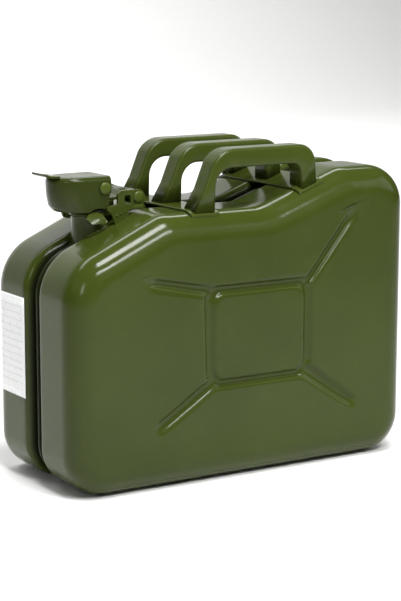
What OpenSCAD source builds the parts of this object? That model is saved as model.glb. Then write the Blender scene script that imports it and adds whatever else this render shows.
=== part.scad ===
// Five-litre (1.3 US gallon) pressed-steel fuel can with a cam-lever cap.
// Two half pressings meet at a recessed welded seam. X runs along the width with
// the filler at -X, Y through the thickness, Z up from the base. Millimetres.

/* [Can body] */
// Width over both ends
body_w = 270; // [220:1:320]
// Thickness over both pressed sides
body_t = 120; // [90:1:150]
// Height of the flat top behind the filler
top_h = 184; // [150:1:230]
// Height of the air hump at the rear
hump_h = 207; // [170:1:260]
// Height where the slope of the shoulder would meet the front
shoulder_h = 151.8; // [120:0.1:200]
// Radius of the pressed edge between the sides and the ends
edge_r = 18; // [10:1:24]
// Sheet thickness
sheet = 1; // [0.8:0.1:2]

/* [Seam recess] */
// Depth of the recess round the can
seam_depth = 7; // [3:0.5:10]
// Height of the welded lip above the floor of the recess
seam_lip = 3.5; // [1:0.5:6]
// Thickness of the two welded edges together
seam_t = 2.4; // [1.6:0.2:4]

/* [Side stamping] */
// Centre of the raised rectangle along the width
panel_x = 8; // [-20:1:20]
// Centre of the raised rectangle above the base
panel_z = 100; // [80:1:140]
// Width of the raised rectangle
panel_w = 70; // [40:1:100]
// Height of the raised rectangle
panel_h = 56; // [30:1:90]
// Depth of the pressed channels
channel_depth = 2.6; // [1:0.1:5]

/* [Filler] */
// Distance of the filler axis from the middle of the can, towards the front
neck_x = 89; // [70:1:100]
// Height of the lower end of the filler tube, inside the can
foot_z = 146; // [142:1:150]
// Bore radius of the filler tube
neck_bore_r = 12.5; // [10:0.5:13]
// Outer radius of the filler tube
neck_r = 13.8; // [13.5:0.1:15]
// Outer radius of the flange below the mouth
flange_r = 15.2; // [14.5:0.1:15.4]
// Height of the mouth above the base of the can
mouth_z = 183.5; // [180:0.5:186]

/* [Cap and lever] */
// Radius of the cap
cap_r = 15.2; // [14:0.1:15.4]
// Height of the cap from its bottom to its rim
cap_h = 5.5; // [4:0.5:8]
// Half the width of the lever over its sides
lever_half = 17.3; // [17:0.1:17.5]
// Height of the top of the lever
lever_top = 208; // [204:1:214]

/* [Handles] */
// Height of the top of the grips
grip_z = 225; // [215:1:240]
// Distance between neighbouring handles, centre to centre
handle_pitch = 43.3; // [36:0.1:44]
// Width of each handle
handle_w = 16; // [12:1:18]

/* [Output] */
// Which sub-part to draw

/* [Hidden] */
fine = 96;
enamel = [0.24, 0.30, 0.12];
rubber = [0.08, 0.08, 0.08];
steel = [0.62, 0.63, 0.62];
paper = [0.95, 0.95, 0.93];

hw = body_w / 2;
ht = body_t / 2;
gap = 0.3;               // clearance between pieces that pass each other
pin_r = 2.5;
run = 0.05;              // radial clearance of a pin in a turning hole

// Outline of the can seen from the near side: corner, radius, arc steps, steps to the next arc.
// It runs clockwise from the bottom of the front end.
OUTLINE = [
  [[-hw, 0], 28, 7, 7],
  [[-hw, shoulder_h], 36, 7, 8],
  [[-63.4, top_h], 24, 3, 12],
  [[18, top_h], 40, 4, 4],
  [[81, hump_h], 30, 4, 2],
  [[hw, hump_h], 28, 7, 9],
  [[hw, 0], 28, 7, 12]
];
CORNERS = len(OUTLINE);

function unit(v) = v / norm(v);
function left(v) = [-v[1], v[0]];
function corner(i) = OUTLINE[(i + CORNERS) % CORNERS];
function heading(i) = unit(corner(i + 1)[0] - corner(i)[0]);
// Signed turn at a corner: negative where the outline is convex.
function turn(i) =
  let (u = heading(i - 1), w = heading(i))
  atan2(u[0] * w[1] - u[1] * w[0], u[0] * w[0] + u[1] * w[1]);
function tangent(i) = corner(i)[1] * tan(abs(turn(i)) / 2);
function arc_start(i) = corner(i)[0] - heading(i - 1) * tangent(i);
function arc_end(i) = corner(i)[0] + heading(i) * tangent(i);
function arc_point(i, k) =
  let (
    s = turn(i) < 0 ? 1 : -1,
    n0 = left(heading(i - 1)),
    c = arc_start(i) - n0 * corner(i)[1] * s,
    a = turn(i) * k / corner(i)[2],
    n = [n0[0] * cos(a) - n0[1] * sin(a), n0[0] * sin(a) + n0[1] * cos(a)]
  )
  [c + n * corner(i)[1] * s, n];
// Every point of the outline with its outward normal.
RIM = [
  for (i = [0:CORNERS - 1])
    each concat(
      [for (k = [0:corner(i)[2]]) arc_point(i, k)],
      [for (k = [1:corner(i)[3] - 1])
        [arc_end(i) + (arc_start(i + 1) - arc_end(i)) * k / corner(i)[3], left(heading(i))]]
    )
];
N = len(RIM);
function steps_to(i) = i == 0 ? 0 : steps_to(i - 1) + OUTLINE[i - 1][2] + OUTLINE[i - 1][3];

// A ring of the shell: the outline inset by d at distance y from the seam.
function ring(y, d) = [for (q = RIM) let (p = q[0] - q[1] * d) [p[0], -y, p[1]]];

// The four channels between the raised rectangle and the corners. Each has its two edges
// at the rectangle, then its two edges at the outer end, in the order of the outline.
ARMS = [
  [[-27, 64], [-36.5, 72], [-72, 36], [-79, 45]],
  [[-38, 129], [-29, 136.5], [-82, 139], [-80, 146.5]],
  [[46, 136], [52, 130], [84.5, 182.5], [91, 177]],
  [[52, 74], [42, 64], [93, 43], [87, 35.5]]
];
arm_corners = [0, 1, 5, 6];
arm_wall = 0.3;          // share of a channel's width taken by each sloping wall
arm_share = [0, arm_wall, 1 - arm_wall, 1];
arm_first = [for (c = arm_corners) steps_to(c) + 2];
function mix(a, b, t) = a + (b - a) * t;
// Which stretch of the outline a point belongs to: [arm, place], place 0 to 3 on the arm,
// above 3 on the way to the next arm.
function stretch(i) =
  let (k = [for (j = [0:3]) if (i >= arm_first[j]) j], a = len(k) == 0 ? 3 : k[len(k) - 1])
  [a, len(k) == 0 ? i + N - arm_first[3] : i - arm_first[a]];
function span(a) = (arm_first[(a + 1) % 4] + (a == 3 ? N : 0)) - arm_first[a] - 3;
// Between the arms the line bows towards the rectangle, so that it stays inside the outline.
function bow(p, u) = mix(p, [panel_x, panel_z], 0.16 * sin(180 * u));
function spoke(i, e0, e1) =
  let (s = stretch(i), a = s[0], k = s[1], u = (k - 3) / span(a))
  k <= 3 ? mix(ARMS[a][e0], ARMS[a][e1], arm_share[k])
         : bow(mix(ARMS[a][e1], ARMS[(a + 1) % 4][e0], u), e0 == 2 ? u : 0);
panel_r = 6;
// Corner centres of the raised rectangle, and the heading of each one's arc.
function panel_corner(a) = [
  panel_x + (a < 2 ? -1 : 1) * (panel_w / 2 - panel_r),
  panel_z + (a == 0 || a == 3 ? -1 : 1) * (panel_h / 2 - panel_r)
];
function panel_arc(a, k) =
  let (t = 270 - 90 * a - 30 * k) panel_corner(a) + panel_r * [cos(t), sin(t)];
function panel_edge(i) =
  let (s = stretch(i), a = s[0], k = s[1])
  k <= 3 ? panel_arc(a, k) : mix(panel_arc(a, 3), panel_arc((a + 1) % 4, 0), (k - 3) / span(a));
function on_floor(i) = let (k = stretch(i)[1]) k == 1 || k == 2;
function side_point(p, depth, t) = [p[0], -(ht - t - depth), p[1]];
// Rings of the pressed side, from the ends of the channels to the raised rectangle.
function side_rings(t) = [
  [for (i = [0:N - 1]) side_point(spoke(i, 2, 3), 0, t)],
  [for (i = [0:N - 1]) side_point(mix(spoke(i, 2, 3), spoke(i, 0, 1), 0.2),
                                  on_floor(i) ? channel_depth : 0, t)],
  [for (i = [0:N - 1]) side_point(spoke(i, 0, 1), on_floor(i) ? channel_depth : 0, t)],
  [for (i = [0:N - 1]) side_point(mix(spoke(i, 0, 1), panel_edge(i), arm_wall), channel_depth, t)],
  [for (i = [0:N - 1]) side_point(mix(spoke(i, 0, 1), panel_edge(i), 1 - arm_wall), channel_depth, t)],
  [for (i = [0:N - 1]) side_point(panel_edge(i), 0, t)]
];
// Rings across the thickness: [distance from the seam, inset], for the skin at depth t.
function cross_rings(t) = concat(
  [
    [seam_t / 2, seam_depth + t],
    [5.6 + 0.5 * t, seam_depth + t],
    [7.8 + 0.9 * t, seam_depth * 0.62 + 0.5 * t],
    [9.2 + 0.8 * t, seam_depth * 0.14 + 0.6 * t],
    [10.6 + 0.4 * t, t],
    [26, t]
  ],
  [for (a = [0:22.5:90]) [ht - edge_r + (edge_r - t) * sin(a), edge_r - (edge_r - t) * cos(a)]]
);
function skin(t) = concat(
  [for (c = cross_rings(t)) ring(c[0], c[1])],
  side_rings(t)
);
function flat_list(l) = [for (r = l) each r];
module half_shell() {
  outer = skin(0);
  inner = skin(sheet);
  R = len(outer);
  M = N * R;
  points = concat(
    flat_list(outer), [[panel_x, -ht, panel_z]],
    flat_list(inner), [[panel_x, -(ht - sheet), panel_z]]
  );
  faces = concat(
    [for (r = [0:R - 2], i = [0:N - 1]) let (a = r * N + i, b = r * N + (i + 1) % N)
      each [[a, b, b + N], [a, b + N, a + N]]],
    [for (i = [0:N - 1]) [M - N + i, M - N + (i + 1) % N, M]],
    [for (r = [0:R - 2], i = [0:N - 1]) let (a = M + 1 + r * N + i, b = M + 1 + r * N + (i + 1) % N)
      each [[b, a, a + N], [b, a + N, b + N]]],
    [for (i = [0:N - 1]) [2 * M + 1 - N + (i + 1) % N, 2 * M + 1 - N + i, 2 * M + 1]],
    [for (i = [0:N - 1]) let (j = (i + 1) % N, a = M + 1 + i, b = M + 1 + j)
      each [[j, i, a], [j, a, b]]]
  );
  color(enamel)
    difference() {
      polyhedron(points = points, faces = faces, convexity = 10);
      translate([-neck_x, 0, foot_z]) cylinder(r = neck_r + 0.1, h = 44, $fn = fine);
    }
}
module shell_near() half_shell();
module shell_far() mirror([0, 1, 0]) half_shell();

// Upright slice in the XZ plane, centred on y.
module slice(y, w) translate([0, y + w / 2, 0]) rotate([90, 0, 0]) linear_extrude(w) children();

module seam_lip_ring() {
  edge = seam_depth - seam_lip;
  root = seam_depth + 2;
  color(enamel)
    difference() {
      slice(0, seam_t)
        difference() {
          polygon([for (q = RIM) q[0] - q[1] * edge]);
          polygon([for (q = RIM) q[0] - q[1] * root]);
        }
      translate([-neck_x, 0, foot_z]) cylinder(r = neck_r + 0.1, h = 44, $fn = fine);
    }
}

// Outer line of the filler, from its foot inside the can to its mouth.
NECK_OUT = [
  [neck_r, foot_z], [neck_r, 180.4], [flange_r - 0.3, 181.2], [flange_r, 181.6], [flange_r, 182.6],
  [flange_r - 0.4, mouth_z - 0.4], [flange_r - 0.7, mouth_z]
];
module neck_solid()
  rotate_extrude($fn = fine) polygon(concat([[0, foot_z]], NECK_OUT, [[0, mouth_z]]));
module filler_neck() {
  bore = [
    [neck_bore_r + 1.1, mouth_z], [neck_bore_r + 0.4, mouth_z - 0.6],
    [neck_bore_r, mouth_z - 1.6], [neck_bore_r, foot_z]
  ];
  color(enamel) translate([-neck_x, 0, 0]) rotate_extrude($fn = fine) polygon(concat(NECK_OUT, bore));
}

// Lugs on both sides of the filler, under the arches of the lever.
LUG = [
  [-102.4, 181], [-99.6, 183.8], [-93.3, 184.7], [-89.8, 182.8], [-87.4, 178.4], [-89, 176.8],
  [-99.6, 177.2]
];
module neck_lug()
  color(enamel)
    difference() {
      slice(16.9, 7.8) polygon(LUG);
      translate([-neck_x, 0, 0]) neck_solid();
      translate([-neck_x, 0, mouth_z - 0.3]) cylinder(r = cap_r + 0.5, h = 10, $fn = fine);
      translate([-120, 20.8, 177.4]) rotate([35, 0, 0]) cube([50, 20, 30]);
    }
module neck_lug_near() mirror([0, 1, 0]) neck_lug();
module neck_lug_far() neck_lug();

// Vent tube from the filler to the air hump, so that the can pours without gulping.
vent_r = 3.2;
module vent_leg(a, b, r) {
  d = b - a;
  translate(a) rotate([0, atan2(norm([d[0], d[1]]), d[2]), atan2(d[1], d[0])])
    cylinder(r = r, h = norm(d), $fn = 32);
}
module breather_tube() {
  side = neck_r + vent_r - 0.1;
  a = [-neck_x, side, 147];
  b = [-18, side, 147];
  c = [98, side, 194];
  color(steel)
    difference() {
      union() {
        vent_leg(a, b, vent_r);
        vent_leg(b, c, vent_r);
        translate(b) sphere(r = vent_r + 0.6, $fn = 32);
      }
      vent_leg(a - [1, 0, 0], b, vent_r - 0.7);
      vent_leg(b, c + [2, 0, 1], vent_r - 0.7);
    }
}

// Cap hinge: a plate on each side of the filler, with a window below its upper edge.
hinge_x = -64;
hinge_z = 193;
bracket_in = lever_half + 0.5;
bracket_t = 2;
arch = [-92.5, 176.8];    // centre of the arches round the lugs
function arc(c, r, a, b, n) =
  [for (k = [0:n]) let (t = a + (b - a) * k / n) c + r * [cos(t), sin(t)]];
// Height of the sloping shoulder between its two bends, just clear of the skin.
slope_u = heading(1);
function on_slope(x) = shoulder_h + (x + hw) * slope_u[1] / slope_u[0] + 0.04;
module hinge_bracket(y) {
  color(enamel)
    slice(y, bracket_t)
      difference() {
        union() {
          polygon(concat(
            [[-81.5, on_slope(-81.5)], [-71.5, on_slope(-71.5)], [-71.5, 184], [-66, 188], [hinge_x, hinge_z - 5.2],
             [hinge_x, hinge_z + 5.2], [-77, hinge_z + 5.2], [-79.6, 195.6], [-79.6, 189], [-87.6, 187.8]],
            arc(arch, 9.8, 60, 8, 6)
          ));
          translate([hinge_x, hinge_z]) circle(r = 5.2, $fn = fine);
        }
        translate([-74.4, 188.6]) square([4.8, 6.2]);
        translate([hinge_x, hinge_z]) circle(r = pin_r, $fn = fine);
      }
}
module hinge_bracket_near() hinge_bracket(-bracket_in - bracket_t / 2);
module hinge_bracket_far() hinge_bracket(bracket_in + bracket_t / 2);

// Pin along Y with a domed head at each end.
module headed_pin(x, z, half, head_r) {
  translate([x, 0, z]) rotate([90, 0, 0]) {
    cylinder(r = pin_r, h = 2 * half, center = true, $fn = fine);
    for (s = [0, 1]) mirror([0, 0, s]) translate([0, 0, half])
      rotate_extrude($fn = fine) polygon([
        [0, 0], [head_r, 0], [head_r, 0.7], [head_r * 0.8, 1.3], [head_r * 0.4, 1.7], [0, 1.8]
      ]);
  }
}
module cap_hinge_pin() color(steel) headed_pin(hinge_x, hinge_z, bracket_in + bracket_t, 4);

// Long block along X whose section is the top of the can between its rounded edges, grown by g.
flat_half = ht - edge_r;
strap_t = 1.6;
hump_x = 18;
hump_angle = atan2(hump_h - top_h, 81 - hump_x);
module top_block(g)
  rotate([90, 0, 90]) linear_extrude(90)
    union() {
      translate([-flat_half, -40]) square([2 * flat_half, 40 + g]);
      for (s = [-1, 1]) translate([s * flat_half, -edge_r]) circle(r = edge_r + g, $fn = fine);
    }
module flat_block(g) translate([-50, 0, top_h]) top_block(g);
module slope_block(g) translate([hump_x, 0, top_h]) rotate([0, -hump_angle, 0]) top_block(g);

// Straps over the top that carry the feet of the three handles.
strap_half = handle_pitch + handle_w / 2 + 1;
module handle_strap_front()
  color(enamel)
    difference() {
      intersection() {
        flat_block(strap_t);
        translate([-42, -strap_half, top_h - 10]) cube([22, 2 * strap_half, 20]);
      }
      flat_block(0.03);
    }
module handle_strap_rear()
  color(enamel)
    difference() {
      intersection() {
        slope_block(strap_t);
        translate([44, -strap_half, top_h - 10]) cube([20, 2 * strap_half, 40]);
      }
      slope_block(0.03);
    }

module handle(y)
  color(enamel)
    difference() {
      slice(y, handle_w)
        polygon(concat(
          [[-43.5, top_h - 6], [-31, 198.5]],
          arc([-7.5, grip_z - 19], 19, 150, 90, 8),
          arc([46, grip_z - 13], 13, 90, 12, 7),
          [[61.5, top_h + 5], [47, top_h + 5]],
          arc([40, grip_z - 20], 7, 0, 90, 5),
          arc([-9, grip_z - 26], 13, 90, 176, 8),
          [[-22.5, top_h - 6]]
        ));
      flat_block(strap_t + 0.02);
      slope_block(strap_t + 0.02);
    }
module handle_near() handle(-handle_pitch);
module handle_middle() handle(0);
module handle_far() handle(handle_pitch);

// Cap: a shallow dish with a seal under it, a hinge arm behind and the lever's brackets inside.
cap_z = mouth_z + gap + 1.7;
cap_t = 1.2;
module cap_pan() {
  top = cap_z + cap_h;
  color(enamel) translate([-neck_x, 0, 0]) rotate_extrude($fn = fine) polygon([
    [0, cap_z], [cap_r - 1.4, cap_z], [cap_r - 0.4, cap_z + 0.4], [cap_r, cap_z + 1.4], [cap_r, top - 0.5],
    [cap_r - 0.4, top], [cap_r - 0.9, top], [cap_r - 1.3, top - 0.5], [cap_r - 1.3, cap_z + cap_t + 0.6],
    [cap_r - 1.9, cap_z + cap_t], [0, cap_z + cap_t]
  ]);
}
module cap_gasket()
  color(rubber) translate([-neck_x, 0, mouth_z + gap])
    difference() {
      cylinder(r = cap_r - 0.2, h = 1.7, $fn = fine);
      translate([0, 0, -1]) cylinder(r = neck_bore_r + 0.4, h = 4, $fn = fine);
    }
arm_half = 10.3;
module cap_hinge_arm() {
  top = cap_z + cap_h;
  color(enamel)
    difference() {
      union() {
        slice(0, 2 * arm_half)
          polygon([[-86, top], [-69, top], [-66, hinge_z - 4.2], [hinge_x, hinge_z - 4.7],
                   [hinge_x, hinge_z + 4.7], [-68, hinge_z + 3], [-72, top + 1.8], [-86, top + 1.8]]);
        translate([hinge_x, 0, hinge_z]) rotate([90, 0, 0])
          cylinder(r = 4.8, h = 2 * (bracket_in - gap), center = true, $fn = fine);
      }
      translate([hinge_x, 0, hinge_z]) rotate([90, 0, 0])
        cylinder(r = pin_r + run, h = 60, center = true, $fn = fine);
    }
}

// Lever: two sides and a rounded nose under a top plate, turning on a pin across the cap.
lever_x = -88;
lever_z = 200;
nose_x = -103.9;
lever_t = 1.5;
skirt_z = 184.6;
module lever_bracket(y) {
  foot = cap_z + cap_t;
  color(enamel)
    slice(y, 1.6)
      difference() {
        union() {
          polygon([[lever_x - 5, foot], [lever_x + 5, foot],
                   [lever_x + 4.4, lever_z], [lever_x - 4.4, lever_z]]);
          translate([lever_x, lever_z]) circle(r = 4.4, $fn = fine);
        }
        translate([lever_x, lever_z]) circle(r = pin_r, $fn = fine);
      }
}
module lever_bracket_near() lever_bracket(-11.2);
module lever_bracket_far() lever_bracket(11.2);
module lever_pin() color(steel) headed_pin(lever_x, lever_z, lever_half + 0.3, 4.2);

module lever_cheek(y) {
  under = lever_top - 2;
  color(enamel)
    slice(y, lever_t)
      difference() {
        polygon(concat(
          [[nose_x, under], [nose_x, skirt_z]],
          arc(arch, 10.2, 130, 62, 8),
          [[-85, 187], [-84.8, 194], [-82.4, 198], [-82, 202], [-84, under]]
        ));
        translate([lever_x, lever_z]) circle(r = pin_r + run, $fn = fine);
      }
}
module lever_cheek_near() lever_cheek(-lever_half + lever_t / 2);
module lever_cheek_far() lever_cheek(lever_half - lever_t / 2);
module lever_nose()
  color(enamel) translate([nose_x, 0, skirt_z])
    difference() {
      cylinder(r = lever_half, h = lever_top - 2 - skirt_z, $fn = fine);
      translate([0, 0, -1]) cylinder(r = lever_half - lever_t, h = 40, $fn = fine);
      translate([0, -30, -1]) cube([60, 60, 60]);
    }
module lever_bridge()
  color(enamel) {
    translate([0, 0, lever_top - 2]) linear_extrude(2)
      union() {
        translate([nose_x, 0]) circle(r = lever_half, $fn = fine);
        translate([nose_x, -lever_half]) square([-84 - nose_x, 2 * lever_half]);
      }
    slice(0, 20) polygon([[-120, lever_top], [-124.6, lever_top], [-128.4, lever_top + 1.4],
                          [-128, lever_top + 3], [-124.4, lever_top + 1.8], [-119.6, lever_top + 1.2]]);
  }

// Sticker on the front end, wrapped a little way round the far edge.
module data_label() {
  skin_r = edge_r + 0.02;
  t = 0.23;
  far = ht - edge_r;
  color(paper)
    translate([0, 0, 57.5]) linear_extrude(69)
      union() {
        translate([-hw - 0.02 - t, 10.7]) square([t, far - 10.7]);
        translate([-hw + edge_r, far])
          difference() {
            circle(r = skin_r + t, $fn = 180);
            circle(r = skin_r, $fn = 180);
            translate([-40, -80]) square([80, 80]);
            rotate(146) translate([-40, -80]) square([80, 80]);
          }
      }
}

shell_near();
shell_far();
seam_lip_ring();
filler_neck();
neck_lug_near();
neck_lug_far();
breather_tube();
hinge_bracket_near();
hinge_bracket_far();
cap_hinge_pin();
handle_strap_front();
handle_strap_rear();
handle_near();
handle_middle();
handle_far();
cap_pan();
cap_gasket();
cap_hinge_arm();
lever_bracket_near();
lever_bracket_far();
lever_pin();
lever_cheek_near();
lever_cheek_far();
lever_nose();
lever_bridge();
data_label();
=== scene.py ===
import math

import bmesh
import bpy
import numpy as np
from mathutils import Matrix, Vector


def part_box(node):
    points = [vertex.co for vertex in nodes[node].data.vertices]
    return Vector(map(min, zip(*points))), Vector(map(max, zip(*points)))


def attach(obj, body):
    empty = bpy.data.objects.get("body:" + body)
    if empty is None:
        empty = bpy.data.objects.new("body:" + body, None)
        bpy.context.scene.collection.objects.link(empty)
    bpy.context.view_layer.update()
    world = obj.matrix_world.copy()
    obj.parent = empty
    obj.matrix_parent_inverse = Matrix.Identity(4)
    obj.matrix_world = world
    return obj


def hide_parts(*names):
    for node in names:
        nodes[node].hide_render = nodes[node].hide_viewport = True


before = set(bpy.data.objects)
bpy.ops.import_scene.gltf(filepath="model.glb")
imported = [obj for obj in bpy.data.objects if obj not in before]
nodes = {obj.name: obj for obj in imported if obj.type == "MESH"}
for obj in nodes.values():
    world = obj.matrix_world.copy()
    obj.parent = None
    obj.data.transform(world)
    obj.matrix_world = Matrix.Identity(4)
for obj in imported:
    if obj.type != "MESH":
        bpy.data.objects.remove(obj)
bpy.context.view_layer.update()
MM = 0.001

# ---------------------------------------------------------------- sizes read from the frame
near_lo, near_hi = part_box("shell_near")
HW = near_hi[0] / MM                     # half the can's width
HT = -near_lo[1] / MM                    # half its thickness
HUMP = near_hi[2] / MM                   # height of the air hump
neck_lo, neck_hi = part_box("filler_neck")
NECK_X = (neck_lo[0] + neck_hi[0]) / 2 / MM
STRAP_T = 1.6                            # thickness of the handle straps
strap_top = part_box("handle_strap_front")[1][2]
TOP = strap_top / MM - STRAP_T         # height of the flat top
FOOT = neck_lo[2] / MM                   # lower end of the filler tube
NECK_R = 13.8                            # outer radius of the filler tube
HOLE_R, HOLE_DEPTH = 13.9, 44            # hole for the filler in the shoulder
SHOULDER = 151.8                         # where the slope of the shoulder would meet the front
BEND = -63.4                             # where that slope would meet the flat top
EDGE_R = 18.0                            # round edge between the can's rim and its sides
SEAM_D = 7.0                             # depth of the recess along the seam
PANEL_X, PANEL_Z, PANEL_W, PANEL_H, PANEL_R = 8.0, 100.0, 70.0, 56.0, 6.5    # raised rectangle
CHANNEL = 2.6                            # depth of the channels round it
SHEET = 1.0                              # thickness of the steel


def smooth(t):
    """S-shaped step from 0 to 1."""
    t = max(0.0, min(1.0, t))
    return t * t * (3 - 2 * t)


def mix(a, b, t):
    """Point at share t of the way from a to b."""
    return a + (b - a) * t


# ---------------------------------------------------------------- outline of the can, in millimetres
ARC = 16
OUTLINE = [
    ((-HW, 0), 28, ARC, 14),
    ((-HW, SHOULDER), 36, ARC, 14),
    ((BEND, TOP), 24, 6, 26),
    ((18, TOP), 40, 7, 8),
    ((81, HUMP), 30, 7, 5),
    ((HW, HUMP), 28, ARC, 18),
    ((HW, 0), 28, ARC, 24),
]


def turned(v, a):
    """A flat vector turned by the angle a."""
    c, s = math.cos(a), math.sin(a)
    return np.array([v[0] * c - v[1] * s, v[0] * s + v[1] * c])


def outline_points():
    """Points round the can with the directions that face out of it, and where each corner starts."""
    pts, starts = [], []
    n = len(OUTLINE)
    v = [np.array(o[0], float) for o in OUTLINE]
    head = [(v[(i + 1) % n] - v[i]) / np.linalg.norm(v[(i + 1) % n] - v[i]) for i in range(n)]
    left = [np.array([-h[1], h[0]]) for h in head]

    def turn(i):
        u, w = head[i - 1], head[i]
        return math.atan2(u[0] * w[1] - u[1] * w[0], u @ w)

    def tang(i):
        return OUTLINE[i][1] * math.tan(abs(turn(i)) / 2)

    for i in range(n):
        starts.append(len(pts))
        r, na, ms = OUTLINE[i][1:]
        s = 1 if turn(i) < 0 else -1
        n0 = left[i - 1]
        c = v[i] - head[i - 1] * tang(i) - n0 * r * s
        for k in range(na + 1):
            a = turn(i) * k / na
            nn = turned(n0, a)
            pts.append((c + nn * r * s, nn))
        e0 = v[i] + head[i] * tang(i)
        j = (i + 1) % n
        e1 = v[j] - head[i] * tang(j)
        for k in range(1, ms):
            pts.append((e0 + (e1 - e0) * k / ms, left[i]))
    return pts, starts


RIM, STARTS = outline_points()
N = len(RIM)


def on_slope(x):
    """Height of the straight part of the sloping shoulder."""
    return SHOULDER + (x + HW) * (TOP - SHOULDER) / (BEND + HW)


# ---------------------------------------------------------------- channels of the pressed side
ARMS = [
    [(-27, 64), (-36.5, 72), (-72, 36), (-79, 45)],
    [(-38, 129), (-29, 136.5), (-82, 139), (-80, 146.5)],
    [(46, 136), (52, 130), (84.5, 182.5), (91, 177)],
    [(52, 74), (42, 64), (93, 43), (87, 35.5)],
]
ARMS = [[np.array(q, float) for q in a] for a in ARMS]
SHARES = [0, 0.1, 0.2, 0.32, 0.5, 0.68, 0.8, 0.9, 1]
FIRST = [STARTS[c] + 4 for c in (0, 1, 5, 6)]


LAST = len(SHARES) - 1


def dip(s):
    """Share of a channel's depth at share s of its width."""
    return smooth(min(s, 1 - s) / 0.38)


def stretch(i):
    """The arm that point i of the rim belongs to or follows, and the steps since that arm's start."""
    k = [j for j in range(4) if i >= FIRST[j]]
    if not k:
        return 3, i + N - FIRST[3]
    return k[-1], i - FIRST[k[-1]]


def span(a):
    """Steps from the end of arm a to the start of the next."""
    return FIRST[(a + 1) % 4] + (N if a == 3 else 0) - FIRST[a] - LAST


def spoke(i, e0, e1):
    """Where point i's line over the side meets the arms' ends e0 to e1, or the line between two arms."""
    a, k = stretch(i)
    if k <= LAST:
        return mix(ARMS[a][e0], ARMS[a][e1], SHARES[k])
    u = (k - LAST) / span(a)
    p = mix(ARMS[a][e1], ARMS[(a + 1) % 4][e0], u)
    pull = 0.16 * math.sin(math.pi * u) if e0 == 2 else 0.0
    return mix(p, np.array([PANEL_X, PANEL_Z]), pull)


def panel_arc(a, k):
    """Point k of the raised rectangle's round corner that faces arm a."""
    c = np.array([
        PANEL_X + (-1 if a < 2 else 1) * (PANEL_W / 2 - PANEL_R),
        PANEL_Z + (-1 if a in (0, 3) else 1) * (PANEL_H / 2 - PANEL_R),
    ])
    t = math.radians(270 - 90 * a - 90 * k / LAST)
    return c + PANEL_R * np.array([math.cos(t), math.sin(t)])


def panel_edge(i, shrink=0.0):
    """Point of the raised rectangle's edge that belongs to point i of the rim."""
    a, k = stretch(i)
    if k <= LAST:
        p = panel_arc(a, k)
    else:
        p = mix(panel_arc(a, LAST), panel_arc((a + 1) % 4, 0), (k - LAST) / span(a))
    if shrink:
        c = np.array([PANEL_X, PANEL_Z])
        p = c + (p - c) * (1 - shrink)
    return p


def arm_depth(i):
    """Share of the channel's depth where point i's line crosses an arm."""
    k = stretch(i)[1]
    return dip(SHARES[k]) if k <= LAST else 0.0


# Section of the seam recess: (distance from the seam, depth below the outline).
GROOVE = [
    (1.2, SEAM_D), (3.5, SEAM_D), (5.6, SEAM_D - 0.02), (6.4, SEAM_D - 0.25), (7.0, SEAM_D - 0.9), (7.5, 5.0),
    (8.0, 3.8), (8.6, 2.65), (9.3, 1.65), (10.1, 0.9), (11.0, 0.38), (12.0, 0.1), (13.2, 0.01), (16, 0.0),
    (19, 0.0), (22, 0.0), (25, 0.0), (28, 0.0), (31, 0.0), (34, 0.0), (37, 0.0), (39.5, 0.0),
]
EDGE_STEPS = 12


def shell_rings(t):
    """Rings of the near half's skin, from the seam to the raised rectangle, t below the painted surface."""
    rings = []
    for y, d in GROOVE:
        side = -(y + 0.5 * t * (d > 0.02))
        rings.append([(q[0], side, q[1]) for q in (p - n * (d + t) for p, n in RIM)])
    for k in range(EDGE_STEPS + 1):
        a = math.radians(90 * k / EDGE_STEPS)
        y = HT - EDGE_R + (EDGE_R - t) * math.sin(a)
        d = EDGE_R - (EDGE_R - t) * math.cos(a)
        rings.append([(q[0], -y, q[1]) for q in (p - n * d for p, n in RIM)])
    y = -(HT - t)
    for f in (0.12, 0.4, 0.75):
        row = [mix(p - n * EDGE_R, spoke(i, 2, 3), f) for i, (p, n) in enumerate(RIM)]
        rings.append([(p[0], y, p[1]) for p in row])
    for f in (0.0, 0.05, 0.1, 0.16, 0.22, 0.5, 0.8, 0.93):
        row = [mix(spoke(i, 2, 3), spoke(i, 0, 1), f) for i in range(N)]
        fade = smooth(f / 0.2)
        rings.append([(p[0], y + CHANNEL * fade * arm_depth(i), p[1]) for i, p in enumerate(row)])
    for s in SHARES:
        row = [mix(spoke(i, 0, 1), panel_edge(i), s) for i in range(N)]
        depth = [max(dip(s), arm_depth(i) if s < 0.5 else 0.0) for i in range(N)]
        rings.append([(p[0], y + CHANNEL * h, p[1]) for p, h in zip(row, depth)])
    for f in (0.06, 0.3, 0.6, 0.85):
        row = [panel_edge(i, f) for i in range(N)]
        rings.append([(p[0], y, p[1]) for p in row])
    return rings


def make_object(name, verts, faces, smooth_shade=True):
    """New mesh object, its corners in metres."""
    me = bpy.data.meshes.new(name)
    me.from_pydata([tuple(v) for v in verts], [], [tuple(f) for f in faces])
    me.validate()
    me.update()
    if smooth_shade:
        me.polygons.foreach_set("use_smooth", [True] * len(me.polygons))
    ob = bpy.data.objects.new(name, me)
    bpy.context.scene.collection.objects.link(ob)
    return ob


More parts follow.
